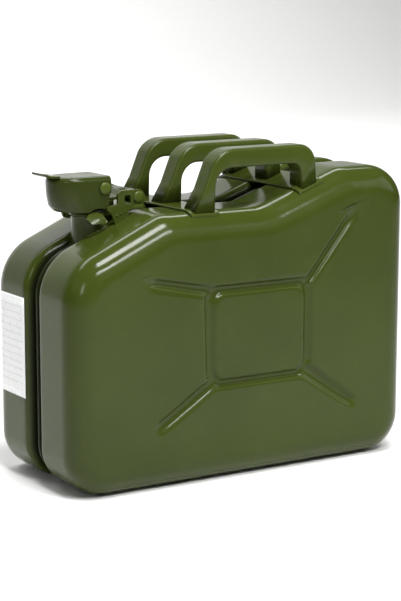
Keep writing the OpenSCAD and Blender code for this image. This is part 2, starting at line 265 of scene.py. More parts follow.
def half_shell(name, sign):
    """One half pressing: painted skin, inner skin and the edge between them."""
    verts, faces, first = [], [], []
    for t in (0.0, SHEET):
        first.append(len(verts))
        rings = shell_rings(t)
        for row in rings:
            verts.extend(row)
        verts.append((PANEL_X, -(HT - t), PANEL_Z))
    last_ring = N * (len(rings) - 1)
    for b, flip in zip(first, (1, -1)):
        for r in range(len(rings) - 1):
            for i in range(N):
                j = (i + 1) % N
                q = [b + r * N + i, b + r * N + j, b + (r + 1) * N + j, b + (r + 1) * N + i]
                faces.append(q[::flip])
        for i in range(N):
            q = [b + last_ring + i, b + last_ring + (i + 1) % N, b + last_ring + N]
            faces.append(q[::flip])
    a, b = first
    for i in range(N):
        j = (i + 1) % N
        faces.append([a + j, a + i, b + i, b + j])
    arr = np.array(verts, float) * MM
    arr[:, 1] *= -sign
    if sign > 0:
        faces = [f[::-1] for f in faces]
    return make_object(name, arr, faces)


# ---------------------------------------------------------------- building blocks for the fittings
def rounded(corners, n=6):
    """Closed outline from (x, z, radius) corners, each rounded to its radius."""
    out = []
    m = len(corners)
    for i in range(m):
        p = np.array(corners[i][:2], float)
        r = corners[i][2]
        a = np.array(corners[i - 1][:2], float) - p
        b = np.array(corners[(i + 1) % m][:2], float) - p
        la, lb = np.linalg.norm(a), np.linalg.norm(b)
        a, b = a / la, b / lb
        half = math.acos(max(-1.0, min(1.0, float(a @ b)))) / 2
        if r <= 0 or half > math.pi / 2 - 0.02:
            out.append(p)
            continue
        cut = min(r / math.tan(half), 0.49 * la, 0.49 * lb)
        rr = cut * math.tan(half)
        c = p + (a + b) / np.linalg.norm(a + b) * rr / math.sin(half)
        s, e = p + a * cut - c, p + b * cut - c
        t0 = math.atan2(s[1], s[0])
        dt = (math.atan2(e[1], e[0]) - t0 + math.pi) % (2 * math.pi) - math.pi
        for k in range(n + 1):
            t = t0 + dt * k / n
            out.append(c + rr * np.array([math.cos(t), math.sin(t)]))
    return [np.array(q) for q in out]


def arc(c, r, a, b, n):
    """Round stretch about c from angle a to angle b, in degrees."""
    turns = [math.radians(a + (b - a) * k / n) for k in range(n + 1)]
    return [np.array([c[0] + r * math.cos(t), c[1] + r * math.sin(t)]) for t in turns]


def sharp(points):
    """Points as corners that rounded() leaves as they are."""
    return [(*p, 0) for p in points]


def about(origin, corners):
    """Corners (x, z, radius) given from an origin, moved to their place."""
    return [(origin[0] + x, origin[1] + z, r) for x, z, r in corners]


def settle(ob):
    """Applies an object's modifiers to its mesh."""
    dg = bpy.context.evaluated_depsgraph_get()
    new = bpy.data.meshes.new_from_object(ob.evaluated_get(dg))
    new.name = ob.name
    old = ob.data
    ob.modifiers.clear()
    ob.data = new
    bpy.data.meshes.remove(old)
    return ob


def soften(ob, width, segments=3, angle=30):
    """Rounds every edge sharper than the angle in degrees, width in millimetres."""
    bev = ob.modifiers.new("edges", "BEVEL")
    bev.width = width * MM
    bev.segments = segments
    bev.limit_method = "ANGLE"
    bev.angle_limit = math.radians(angle)
    bev.miter_outer = "MITER_ARC"
    wn = ob.modifiers.new("normals", "WEIGHTED_NORMAL")
    wn.weight = 60
    return settle(ob)


SWAP_X_AND_Y = Matrix(((0, 1, 0, 0), (1, 0, 0, 0), (0, 0, 1, 0), (0, 0, 0, 1)))
UP_TO_ALONG_Y = Matrix(((1, 0, 0, 0), (0, 0, 1, 0), (0, -1, 0, 0), (0, 0, 0, 1)))


def slab(name, outline, y0, y1, edge=0.5, segments=3, axis="y"):
    """Flat plate: an outline in XZ pushed from y0 to y1, with its edges rounded."""
    n = len(outline)
    pairs = zip(outline, [*outline[1:], outline[0]])
    area = sum(p[0] * q[1] - q[0] * p[1] for p, q in pairs)
    pts = outline if area > 0 else outline[::-1]
    verts = [(p[0] * MM, y * MM, p[1] * MM) for y in (y0, y1) for p in pts]
    faces = [list(range(n)), list(range(2 * n - 1, n - 1, -1))]
    faces += [[(i + 1) % n, i, n + i, n + (i + 1) % n] for i in range(n)]
    ob = make_object(name, verts, faces)
    if axis == "x":
        ob.data.transform(SWAP_X_AND_Y)
        ob.data.flip_normals()
    if edge:
        soften(ob, edge, segments)
    return ob


def lathe(name, profile, x, seg=96, closed=True):
    """Turned piece about the upright axis through x: profile is a closed list of (radius, height)."""
    verts, faces, index = [], [], []
    for r, z in profile:
        if r < 1e-6:
            index.append([len(verts)] * seg)
            verts.append((x * MM, 0, z * MM))
        else:
            index.append(list(range(len(verts), len(verts) + seg)))
            for k in range(seg):
                t = 2 * math.pi * k / seg
                verts.append(((x + r * math.cos(t)) * MM, r * math.sin(t) * MM, z * MM))
    m = len(profile)
    for i in range(m if closed else m - 1):
        a, b = index[i], index[(i + 1) % m]
        for k in range(seg):
            q = [a[k], a[(k + 1) % seg], b[(k + 1) % seg], b[k]]
            q = [v for j, v in enumerate(q) if v != q[j - 1]]
            if len(q) > 2 and len(set(q)) > 2:
                faces.append(q)
    ob = make_object(name, verts, faces)
    bm = bmesh.new()
    bm.from_mesh(ob.data)
    bmesh.ops.recalc_face_normals(bm, faces=bm.faces)
    bm.to_mesh(ob.data)
    bm.free()
    return ob


def finish_piece(ob, body, mat, slot, *replaced):
    """Gives a piece its material and body, and hides the CAD nodes that it stands for; the slot is not used.
    """
    dress(ob, mat)
    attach(ob, body)
    if replaced:
        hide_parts(*replaced)
    return ob


def close_mesh(ob):
    """Joins coincident points and turns every face outwards."""
    bm = bmesh.new()
    bm.from_mesh(ob.data)
    bmesh.ops.remove_doubles(bm, verts=bm.verts, dist=1e-6)
    bmesh.ops.dissolve_degenerate(bm, edges=bm.edges, dist=1e-7)
    bmesh.ops.recalc_face_normals(bm, faces=bm.faces)
    bm.to_mesh(ob.data)
    bm.free()
    ob.data.polygons.foreach_set("use_smooth", [True] * len(ob.data.polygons))
    return ob


def two_skins(name, outer, inner, close_last=True):
    """Sheet between two grids of points, closed round its border."""
    rows, cols = len(outer), len(outer[0])
    verts = [p for row in outer for p in row] + [p for row in inner for p in row]
    m = rows * cols
    faces = []
    for r in range(rows - 1):
        for c in range(cols - 1):
            q = [r * cols + c, r * cols + c + 1, (r + 1) * cols + c + 1, (r + 1) * cols + c]
            faces += [q, [v + m for v in q[::-1]]]
    border = [[(r, 0), (r + 1, 0)] for r in range(rows - 1)]
    border += [[(r, cols - 1), (r + 1, cols - 1)] for r in range(rows - 1)]
    border += [[(0, c), (0, c + 1)] for c in range(cols - 1)]
    if close_last:
        border += [[(rows - 1, c), (rows - 1, c + 1)] for c in range(cols - 1)]
    for (r0, c0), (r1, c1) in border:
        a, b = r0 * cols + c0, r1 * cols + c1
        faces.append([a, b, b + m, a + m])
    return close_mesh(make_object(name, [(p[0] * MM, p[1] * MM, p[2] * MM) for p in verts], faces))


def turned_y(name, profile, x, z, seg=64):
    """Turned piece about the line along Y through (x, z), with its (radius, y) profile from end to end."""
    ob = lathe(name, profile, 0, seg, closed=False)
    ob.data.transform(Matrix.Translation((x * MM, 0, z * MM)) @ UP_TO_ALONG_Y)
    return close_mesh(ob)


def cut(ob, cutter):
    """Takes the cutter's shape out of a piece and removes the cutter."""
    mod = ob.modifiers.new("cut", "BOOLEAN")
    mod.operation = "DIFFERENCE"
    mod.solver = "EXACT"
    mod.object = cutter
    settle(ob)
    me = cutter.data
    bpy.data.objects.remove(cutter)
    bpy.data.meshes.remove(me)
    return ob


def cut_filler_hole(ob):
    """Cuts the upright round hole for the filler tube."""
    bm = bmesh.new()
    r, depth = HOLE_R * MM, HOLE_DEPTH * MM
    bmesh.ops.create_cone(bm, cap_ends=True, segments=96, radius1=r, radius2=r, depth=depth)
    bmesh.ops.translate(bm, verts=bm.verts, vec=(NECK_X * MM, 0, FOOT * MM + depth / 2))
    me = bpy.data.meshes.new("cutter")
    bm.to_mesh(me)
    bm.free()
    cutter = bpy.data.objects.new("cutter", me)
    bpy.context.scene.collection.objects.link(cutter)
    return cut(ob, cutter)


# ---------------------------------------------------------------- materials
def new_material(name):
    """New material with its node tree and shader."""
    m = bpy.data.materials.new(name)
    m.use_nodes = True
    nt = m.node_tree
    bsdf = nt.nodes["Principled BSDF"]
    return m, nt, bsdf


def node(nt, kind, **props):
    """New shader node: in_ marks an input by name or number, the rest are its settings."""
    n = nt.nodes.new(kind)
    for k, v in props.items():
        if k.startswith("in_"):
            key = k[3:]
            sock = n.inputs[int(key)] if key.isdigit() else n.inputs[key.replace("_", " ")]
            sock.default_value = v
        else:
            setattr(n, k, v)
    return n


def ramp(nt, fac, stops):
    """Colour ramp through (position, colour) stops."""
    r = nt.nodes.new("ShaderNodeValToRGB")
    el = r.color_ramp.elements
    while len(el) < len(stops):
        el.new(0.5)
    for e, (p, c) in zip(el, stops):
        e.position = p
        e.color = (*c, 1) if len(c) == 3 else c
    nt.links.new(fac, r.inputs["Fac"])
    return r


def enamel_material(name, base, seed=0.0, gloss=0.12, wear=0.25, recess=False):
    """Glossy paint with slow changes of tone, a faint dusty film and a slight waviness; with recess, painted
    shade along the seam recess.
    """
    m, nt, bsdf = new_material(name)
    L = nt.links.new
    tc = node(nt, "ShaderNodeTexCoord")
    mp = node(nt, "ShaderNodeMapping")
    mp.inputs["Location"].default_value = (seed, seed * 0.7, seed * 1.3)
    L(tc.outputs["Object"], mp.inputs["Vector"])
    big = node(nt, "ShaderNodeTexNoise", in_Scale=9.0, in_Detail=3.0, in_Roughness=0.5)
    L(mp.outputs["Vector"], big.inputs["Vector"])
    fine = node(nt, "ShaderNodeTexNoise", in_Scale=900.0, in_Detail=2.0, in_Roughness=0.5)
    L(mp.outputs["Vector"], fine.inputs["Vector"])
    mid = node(nt, "ShaderNodeTexNoise", in_Scale=60.0, in_Detail=6.0, in_Roughness=0.65)
    L(mp.outputs["Vector"], mid.inputs["Vector"])
    lo = tuple(c * 0.88 for c in base)
    hi = tuple(min(1, c * 1.13) for c in base)
    col = ramp(nt, big.outputs["Fac"], [(0.3, lo), (0.7, hi)])
    # faint dusty film
    dust = ramp(nt, mid.outputs["Fac"], [(0.55, (0, 0, 0)), (0.85, (1, 1, 1))])
    dust_mix = node(nt, "ShaderNodeMix", data_type="RGBA")
    dust_mix.inputs["B"].default_value = (0.14, 0.15, 0.07, 1)
    dmul = node(nt, "ShaderNodeMath", operation="MULTIPLY")
    dmul.inputs[1].default_value = 0.07 * wear / 0.25
    L(dust.outputs["Color"], dmul.inputs[0])
    L(dmul.outputs[0], dust_mix.inputs["Factor"])
    L(col.outputs["Color"], dust_mix.inputs["A"])
    L(dust_mix.outputs["Result"], bsdf.inputs["Base Color"])
    rr = node(nt, "ShaderNodeMapRange")
    rr.inputs["From Min"].default_value = 0.35
    rr.inputs["From Max"].default_value = 0.75
    rr.inputs["To Min"].default_value = gloss
    rr.inputs["To Max"].default_value = gloss + 0.10
    L(mid.outputs["Fac"], rr.inputs["Value"])
    L(rr.outputs["Result"], bsdf.inputs["Roughness"])
    bsdf.inputs["Specular IOR Level"].default_value = 0.17
    if recess:
        # painted shade in the seam recess: towards the seam the colour goes near black and the specular and
        # coat fade out
        xyz = node(nt, "ShaderNodeSeparateXYZ")
        L(tc.outputs["Object"], xyz.inputs[0])
        off = node(nt, "ShaderNodeMath", operation="ADD")
        off.inputs[1].default_value = 0.0014
        L(xyz.outputs["Y"], off.inputs[0])
        away = node(nt, "ShaderNodeMath", operation="ABSOLUTE")
        L(off.outputs[0], away.inputs[0])
        seam_shade_mask = node(nt, "ShaderNodeMapRange", interpolation_type="SMOOTHSTEP")
        seam_shade_mask.inputs["From Min"].default_value = 0.0084
        seam_shade_mask.inputs["From Max"].default_value = 0.0112
        L(away.outputs[0], seam_shade_mask.inputs["Value"])
        # near-black colour painted in as shade at the seam
        seam_shade_colour = node(nt, "ShaderNodeMix", data_type="RGBA")
        seam_shade_colour.inputs["A"].default_value = (0.006, 0.007, 0.003, 1)
        L(seam_shade_mask.outputs["Result"], seam_shade_colour.inputs["Factor"])
        L(dust_mix.outputs["Result"], seam_shade_colour.inputs["B"])
        L(seam_shade_colour.outputs["Result"], bsdf.inputs["Base Color"])
        # specular and coat fade out with the painted shade
        seam_shade_specular = node(nt, "ShaderNodeMath", operation="MULTIPLY")
        seam_shade_specular.inputs[1].default_value = 0.17
        L(seam_shade_mask.outputs["Result"], seam_shade_specular.inputs[0])
        L(seam_shade_specular.outputs[0], bsdf.inputs["Specular IOR Level"])
        skin = node(nt, "ShaderNodeMath", operation="MULTIPLY")
        skin.inputs[1].default_value = 0.03
        L(seam_shade_mask.outputs["Result"], skin.inputs[0])
        L(skin.outputs[0], bsdf.inputs["Coat Weight"])
    bsdf.inputs["Coat Weight"].default_value = 0.03
    bsdf.inputs["Coat Roughness"].default_value = 0.06
    b1 = node(nt, "ShaderNodeBump")
    b1.inputs["Strength"].default_value = 0.035
    b1.inputs["Distance"].default_value = 0.0004
    L(fine.outputs["Fac"], b1.inputs["Height"])
    b2 = node(nt, "ShaderNodeBump")
    b2.inputs["Strength"].default_value = 0.22
    b2.inputs["Distance"].default_value = 0.002
    L(big.outputs["Fac"], b2.inputs["Height"])
    L(b1.outputs["Normal"], b2.inputs["Normal"])
    L(b2.outputs["Normal"], bsdf.inputs["Normal"])
    return m


def metal_material(name, base, rough=0.3):
    """Bare metal with a fine grain."""
    m, nt, bsdf = new_material(name)
    L = nt.links.new
    tc = node(nt, "ShaderNodeTexCoord")
    n1 = node(nt, "ShaderNodeTexNoise", in_Scale=350.0, in_Detail=4.0, in_Roughness=0.6)
    L(tc.outputs["Object"], n1.inputs["Vector"])
    c = ramp(nt, n1.outputs["Fac"], [(0.3, tuple(b * 0.75 for b in base)), (0.7, base)])
    L(c.outputs["Color"], bsdf.inputs["Base Color"])
    bsdf.inputs["Metallic"].default_value = 1.0
    rr = node(nt, "ShaderNodeMapRange")
    rr.inputs["To Min"].default_value = rough - 0.08
    rr.inputs["To Max"].default_value = rough + 0.12
    L(n1.outputs["Fac"], rr.inputs["Value"])
    L(rr.outputs["Result"], bsdf.inputs["Roughness"])
    b = node(nt, "ShaderNodeBump")
    b.inputs["Strength"].default_value = 0.15
    b.inputs["Distance"].default_value = 0.0003
    L(n1.outputs["Fac"], b.inputs["Height"])
    L(b.outputs["Normal"], bsdf.inputs["Normal"])
    return m


def plain_material(name, base, rough=0.6, bump=0.2, scale=500.0):
    """Even material without metal, with a fine grain."""
    m, nt, bsdf = new_material(name)
    L = nt.links.new
    tc = node(nt, "ShaderNodeTexCoord")
    n1 = node(nt, "ShaderNodeTexNoise", in_Scale=scale, in_Detail=4.0, in_Roughness=0.6)
    L(tc.outputs["Object"], n1.inputs["Vector"])
    c = ramp(nt, n1.outputs["Fac"], [(0.3, tuple(b * 0.85 for b in base)), (0.7, base)])
    L(c.outputs["Color"], bsdf.inputs["Base Color"])
    bsdf.inputs["Roughness"].default_value = rough
    b = node(nt, "ShaderNodeBump")
    b.inputs["Strength"].default_value = bump
    b.inputs["Distance"].default_value = 0.0002
    L(n1.outputs["Fac"], b.inputs["Height"])
    L(b.outputs["Normal"], bsdf.inputs["Normal"])
    return m


GREEN = (0.0335, 0.0465, 0.0066)


def shade(k):
    """The can's green, k times as bright."""
    return tuple(k * c for c in GREEN)


# the pressings' green carries painted shade along the seam recess
enamel = enamel_material("green_enamel", GREEN, recess=True)
enamel_fittings = enamel_material("green_enamel_fittings", GREEN, seed=3.1, gloss=0.16, wear=0.5)
# the closure gets the green at 0.74, a darker copy as painted shade
closure_enamel_shaded = enamel_material("green_enamel_closure_shaded", shade(0.74), seed=4.4, gloss=0.18, wear=0.5)
# the pin heads get the green at 1.3, a lighter copy as painted highlight, with more dust
painted_pin = enamel_material("painted_pin", shade(1.3), seed=5.2, gloss=0.2, wear=1.2)
# the seam weld gets the can's green at 0.35, a darker copy as painted shade for the recess it stands in
seam_weld_enamel_shaded = enamel_material("green_enamel_seam_shaded", shade(0.35), seed=1.7, gloss=0.3, wear=0.6)
steel = metal_material("plain_steel", (0.60, 0.60, 0.57))
rubber = plain_material("black_rubber", (0.02, 0.02, 0.02), rough=0.7)
paper = plain_material("label_paper", (0.86, 0.87, 0.87), rough=0.45, bump=0.05)


def rule_paper(m):
    """Adds generic ruled lines to the sticker's paper."""
    nt = m.node_tree
    L = nt.links.new
    bsdf = nt.nodes["Principled BSDF"]
    old = bsdf.inputs["Base Color"].links[0].from_socket
    tc = node(nt, "ShaderNodeTexCoord")
    xyz = node(nt, "ShaderNodeSeparateXYZ")
    L(tc.outputs["Object"], xyz.inputs[0])
    step = node(nt, "ShaderNodeMath", operation="MULTIPLY")
    step.inputs[1].default_value = 210.0
    L(xyz.outputs["Z"], step.inputs[0])
    frac = node(nt, "ShaderNodeMath", operation="FRACT")
    L(step.outputs[0], frac.inputs[0])
    line = node(nt, "ShaderNodeMath", operation="LESS_THAN")
    line.inputs[1].default_value = 0.2
    L(frac.outputs[0], line.inputs[0])
    margin = node(nt, "ShaderNodeMath", operation="GREATER_THAN")
    margin.inputs[1].default_value = 0.0145
    L(xyz.outputs["Y"], margin.inputs[0])
    both = node(nt, "ShaderNodeMath", operation="MULTIPLY")
    L(line.outputs[0], both.inputs[0])
    L(margin.outputs[0], both.inputs[1])
    faint = node(nt, "ShaderNodeMath", operation="MULTIPLY")
    faint.inputs[1].default_value = 0.16
    L(both.outputs[0], faint.inputs[0])
    mixer = node(nt, "ShaderNodeMix", data_type="RGBA")
    mixer.inputs["B"].default_value = (0.12, 0.12, 0.12, 1)
    L(faint.outputs[0], mixer.inputs["Factor"])
    L(old, mixer.inputs["A"])
    L(mixer.outputs["Result"], bsdf.inputs["Base Color"])


rule_paper(paper)


def dress(ob, mat):
    """Makes this the only material of an object."""
    ob.data.materials.clear()
    ob.data.materials.append(mat)


# ---------------------------------------------------------------- CAD nodes that stay
for name, ob in nodes.items():
    if name in ("cap_hinge_pin", "lever_pin", "breather_tube"):
        dress(ob, steel)
    elif name == "cap_gasket":
        dress(ob, rubber)
    elif name == "data_label":
        dress(ob, paper)
    else:
        dress(ob, enamel_fittings)

# ---------------------------------------------------------------- pressed halves
for name, sign in (("shell_near", -1), ("shell_far", 1)):
    ob = half_shell("pressing_" + name[6:], sign)
    cut_filler_hole(ob)
    dress(ob, enamel)
    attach(ob, "tank")
    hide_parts(name)

# ---------------------------------------------------------------- seam, filler and its fittings
def box_mm(name):
    """Lower and upper corners of a CAD node in millimetres."""
    lo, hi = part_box(name)
    return np.array(lo) / MM, np.array(hi) / MM


def green(ob, body, *replaced):
    """Finishes a painted fitting: the closure gets a darker copy of the green, as painted shade."""
    mat = enamel_fittings if body == "tank" else closure_enamel_shaded
    return finish_piece(ob, body, mat, "green_enamel", *replaced)


def loft(name, rings):
    """Closed band through rings of points, each joined to the next and the last to the first."""
    m, n = len(rings[0]), len(rings)
    faces = []
    for k in range(n):
        a, b = k * m, (k + 1) % n * m
        for c in range(m):
            d = (c + 1) % m
            faces.append([a + c, a + d, b + d, b + c])
    return close_mesh(make_object(name, [p for ring in rings for p in ring], faces))


def seam_weld():
    """The two welded edges that stand in the recess, slightly wavy along the top."""
    lip = box_mm("seam_lip_ring")
    half = lip[1][1]
    top = HW - lip[1][0]
    root = SEAM_D + 2
    rise = [(-0.8, 0.3), (-0.4, 0.04), (0, 0.0), (0.4, 0.04), (0.8, 0.3)]
    section = [(-half, root), (-half, top + 0.9)]
    section += [(f * half, top + d) for f, d in rise]
    section += [(half, top + 0.9), (half, root)]
    rings = []
    for k, (p, n) in enumerate(RIM):
        ring = []
        for y, d in section:
            wave = 0.12 * math.sin(1.9 * k) if d < top + 0.5 else 0.0
            q = p - n * (d + abs(wave))
            ring.append((q[0] * MM, y * MM, q[1] * MM))
        rings.append(ring)
    return loft("seam_weld", rings)


# the weld in the seam recess wears the darker copy of the green as painted shade
weld = cut_filler_hole(seam_weld())
finish_piece(weld, "tank", seam_weld_enamel_shaded, "green_enamel", "seam_lip_ring")

MOUTH = neck_hi[2] / MM
BORE = 12.5
FLANGE = neck_hi[1] / MM


def filler_tube():
    """Straight tube with a flange below its mouth and a rounded lead into the bore."""
    wall = [(BORE, FOOT), (NECK_R, FOOT), (NECK_R, 160), (NECK_R, 172), (NECK_R, 179.9)]
    flange = [(13.9, 180.4), (14.3, 180.9), (14.9, 181.2), (FLANGE - 0.05, 181.5), (FLANGE, 181.8),
              (FLANGE, 182.5), (FLANGE - 0.15, 182.9)]
    rim = [(14.9, -0.3), (14.5, -0.05), (14.2, 0), (13.7, -0.05), (13.1, -0.45), (12.7, -1.0), (BORE, -1.7)]
    return lathe("filler_tube", wall + flange + [(r, MOUTH + z) for r, z in rim], NECK_X, 128)


green(filler_tube(), "tank", "filler_neck")
BEAD_R = NECK_R + 0.3


def neck_bead(steps=96, around=10):
    """Weld bead where the filler tube passes through the sloping shoulder."""
    rings = []
    for k in range(steps):
        t = 2 * math.pi * k / steps
        r = 0.95 + 0.10 * math.sin(9 * t) + 0.06 * math.sin(23 * t)
        low = SEAM_D * 0.93 * smooth((9.9 - abs(BEAD_R * math.sin(t))) / 3.2)
        ring = []
        for c in range(around):
            a = 2 * math.pi * c / around
            out = BEAD_R + r * math.cos(a)
            x = NECK_X + out * math.cos(t)
            z = on_slope(x) - low + r * math.sin(a)
            ring.append((x * MM, out * math.sin(t) * MM, z * MM))
        rings.append(ring)
    return loft("filler_weld", rings)


green(neck_bead(), "tank")

# ---------------------------------------------------------------- lugs and hinge plates
ARCH = (NECK_X - 3.5, MOUTH - 6.7)       # centre of the arches round the lugs
LUG_Y = (15.75, 20.5)
LUG_ROOT_Y = (13.0, 16.2)
LEAN, LEAN_FROM = 0.70, 177.4            # slope of the lugs' outer faces and the height it counts from
LUG = rounded(about(ARCH, [
    (-9.9, 4.2, 0.6), (-7.1, 7.0, 1.5), (-0.8, 7.9, 2.5), (2.7, 6.0, 2.5), (5.1, 1.6, 1.5), (3.5, 0, 0.8),
    (-7.1, 0.4, 1.5),
]), 5)
LUG_ROOT = rounded(about(ARCH, [
    (-8.5, 4.2, 0.6), (-6.7, 6.1, 0.8), (2.1, 6.1, 0.8), (4.1, 2.2, 1), (3.1, 0.4, 0.6), (-6.5, 0.8, 1),
]), 4)


def lug(name, sign):
    """Wedge whose outer face leans in towards its top."""
    ob = slab(name, LUG, *LUG_Y, 0.0)
    for v in ob.data.vertices:
        if v.co.y > LUG_Y[0] * MM + 1e-4:
            v.co.y = min(LUG_Y[1] - 0.2, LUG_Y[1] + 0.3 - LEAN * (v.co.z / MM - LEAN_FROM)) * MM
    soften(ob, 0.35, 3, 25)
    if sign < 0:
        ob.data.transform(Matrix.Scale(-1, 4, (0, 1, 0)))
        ob.data.flip_normals()
    return ob


for side, sign in (("near", -1), ("far", 1)):
    green(lug("lug_" + side, sign), "tank", "neck_lug_" + side)
for side, sign in (("near", -1), ("far", 1)):
    green(slab("lug_root_" + side, LUG_ROOT, *sorted(sign * y for y in LUG_ROOT_Y), 0.2, 2), "tank")

hinge_lo, hinge_hi = box_mm("cap_hinge_pin")
HINGE = ((hinge_lo[0] + hinge_hi[0]) / 2, (hinge_lo[2] + hinge_hi[2]) / 2)
PLATE_X = (-81.5, -71.5)                 # foot of the hinge plates on the shoulder
WINDOW = [(-10.4, -4.4, 1.2), (-5.6, -4.4, 1.2), (-5.6, 1.8, 1.2), (-10.4, 1.8, 1.2)]
WELDS = [(-16.2, -11.4), (-13.2, -10.4), (-10.2, -9.4)]


def bracket(name, node_name):
    """Hinge plate: foot on the shoulder, arch round the lug, eye for the pin and a window."""
    lo, hi = box_mm(node_name)
    foot = [(x, on_slope(x), 0) for x in PLATE_X]
    back = [(PLATE_X[1], 184, 3), (-66, 188, 3)]
    eye = about(HINGE, [
        (5.2, -5.2, 5), (5.2, 5.2, 5), (-13, 5.2, 2), (-15.6, 2.6, 1), (-15.6, -4, 1.5), (-23.6, -5.2, 1)])
    plate = rounded(foot + back + eye + sharp(arc(ARCH, 9.8, 60, 8, 10)), 6)
    ob = slab(name, plate, lo[1], hi[1], 0.0)
    cut(ob, slab("window", rounded(about(HINGE, WINDOW), 5), lo[1] - 3, hi[1] + 3, 0.0))
    return soften(ob, 0.35, 3, 28)


def plate_weld(name, x, z, sign):
    """Small dome left by a spot weld on a plate's outer face."""
    face = box_mm("hinge_bracket_far")[1][1]
    dome = [(0, -0.5), (0.9, -0.5), (0.9, 0.05), (0.75, 0.25), (0.4, 0.35), (0, 0.36)]
    return turned_y(name, [(r, sign * (face + y)) for r, y in dome], x, z, 24)


for side in ("near", "far"):
    green(bracket("hinge_plate_" + side, "hinge_bracket_" + side), "tank", "hinge_bracket_" + side)
for k, (x, z) in enumerate(WELDS):
    for side, sign in (("near", -1), ("far", 1)):
        green(plate_weld(f"plate_weld_{k}_{side}", HINGE[0] + x, HINGE[1] + z, sign), "tank")


def pin(name, node_name, head_r):
    """Pin along Y with a domed head at each end."""
    lo, hi = box_mm(node_name)
    x, z = (lo[0] + hi[0]) / 2, (lo[2] + hi[2]) / 2
    shaft, first, last = 2.5, lo[1], hi[1]
    turns = [math.pi / 2 * k / 8 for k in range(1, 9)]
    head = [(0, first)] + [(head_r * math.sin(a), first + 1.2 * (1 - math.cos(a))) for a in turns]
    head += [(head_r, first + 1.7), (head_r - 0.1, first + 1.8), (shaft, first + 1.8)]
    other = [(r, last - (y - first)) for r, y in head[::-1]]
    return turned_y(name, head + other, x, z, 64)


# rivet heads in the lighter copy of the green, a painted highlight
finish_piece(pin("hinge_rivet", "cap_hinge_pin", 4.0), "tank", painted_pin, "plain_steel", "cap_hinge_pin")
finish_piece(pin("lever_rivet", "lever_pin", 4.2), "cap", painted_pin, "plain_steel", "lever_pin")

# ---------------------------------------------------------------- straps and handles
FLAT = HT - EDGE_R
HUMP_X = 18                              # where the top starts to rise to the hump
REAR_STRAP = (44, 64)
HUMP_A = math.atan2(HUMP - TOP, 81 - HUMP_X)


def over_top(g, reach, n=14):
    """Line over the top from one side to the other, g above the skin: (y, height above the top)."""
    r = EDGE_R + g
    turns = [math.asin(min(1, (reach - FLAT) / r)) * k / n for k in range(n + 1)]
    right = [(FLAT + r * math.sin(a), -EDGE_R + r * math.cos(a)) for a in turns]
    flat = [(y, g) for y in (-36, -24, -12, 0, 12, 24, 36)]
    return [(-y, h) for y, h in right[::-1]] + flat + right


def strap(name, node_name, tilted):
    """Plate bent over the top: along the flat, or tilted with the slope up to the hump."""
    lo, hi = box_mm(node_name)
    tilt = HUMP_A if tilted else 0.0
    x0, x1 = lo[0], hi[0]
    if tilted:
        x0 = (REAR_STRAP[0] - HUMP_X) / math.cos(tilt) + HUMP_X
        x1 = (REAR_STRAP[1] - HUMP_X) / math.cos(tilt) + HUMP_X - 0.6
    grids = []
    for g in (STRAP_T, -0.1):
        line = over_top(g, hi[1])
        grid = []
        for k in range(9):
            out = mix(x0, x1, k / 8) - HUMP_X
            row = []
            for y, h in line:
                px, pz = turned((out, h), tilt)
                row.append((px + HUMP_X, y, pz + TOP))
            grid.append(row)
        grids.append(grid)
    return soften(two_skins(name, grids[0], grids[1]), 0.55, 3, 40)


green(strap("front_strap", "handle_strap_front", False), "tank", "handle_strap_front")
green(strap("rear_strap", "handle_strap_rear", True), "tank", "handle_strap_rear")


def top_cutter(x0, x1, tilted, g):
    """Long block with the section of the can's top, g proud of it."""
    line = [(-52, -60), *over_top(g, 58.5), (52, -60)]
    prism = slab("cutter", [np.array(p) for p in line], x0 - HUMP_X, x1 - HUMP_X, 0.0, axis="x")
    turn = Matrix.Rotation(-HUMP_A if tilted else 0.0, 4, "Y")
    prism.data.transform(Matrix.Translation((HUMP_X * MM, 0, TOP * MM)) @ turn)
    return prism


def handle(name, node_name):
    """Flat bar bent into a handle, cut to the can's top at its feet."""
    lo, hi = box_mm(node_name)
    grip = hi[2]
    line = [(-43.5, TOP - 6, 0), (-31, 198.5, 3)]
    line += sharp(arc((-7.5, grip - 19), 19, 150, 90, 14))
    line += sharp(arc((46, grip - 13), 13, 90, 12, 12))
    line += [(61.5, TOP + 5, 0), (47, TOP + 5, 0)]
    line += sharp(arc((40, grip - 20), 7, 0, 90, 8))
    line += sharp(arc((-9, grip - 26), 13, 90, 176, 14))
    line += [(-22.5, TOP - 6, 0)]
    ob = slab(name, rounded(line, 6), lo[1], hi[1], 2.2, 5)
    for x0, x1, tilted in ((-60, 40, False), (HUMP_X, 110, True)):
        cut(ob, top_cutter(x0, x1, tilted, STRAP_T - 0.25))
    return ob


for side in ("near", "middle", "far"):
    green(handle("grip_" + side, "handle_" + side), "tank", "handle_" + side)

# ---------------------------------------------------------------- cap
def cap_dish():
    """Shallow dish with a rolled rim and a raised middle."""
    lo, hi = box_mm("cap_pan")
    r, foot, top = hi[1], lo[2], hi[2]
    outside = [(0, 0), (r - 2.2, 0), (r - 1.2, 0.15), (r - 0.5, 0.6), (r - 0.1, 1.4)]
    rim = [(r - 0.1, -0.9), (r, -0.6), (r, -0.3), (r - 0.3, 0), (r - 0.8, 0)]
    rim += [(r - 1.1, -0.3), (r - 1.3, -0.9)]
    inside = [(r - 1.3, 2.2), (r - 1.7, 1.6), (r - 2.4, 1.25), (8.0, 1.2), (7.2, 1.5), (6.4, 1.7), (0, 1.7)]
    line = [(x, foot + z) for x, z in outside] + [(x, top + z) for x, z in rim]
    return lathe("cap_dish", line + [(x, foot + z) for x, z in inside], NECK_X, 96, closed=False)


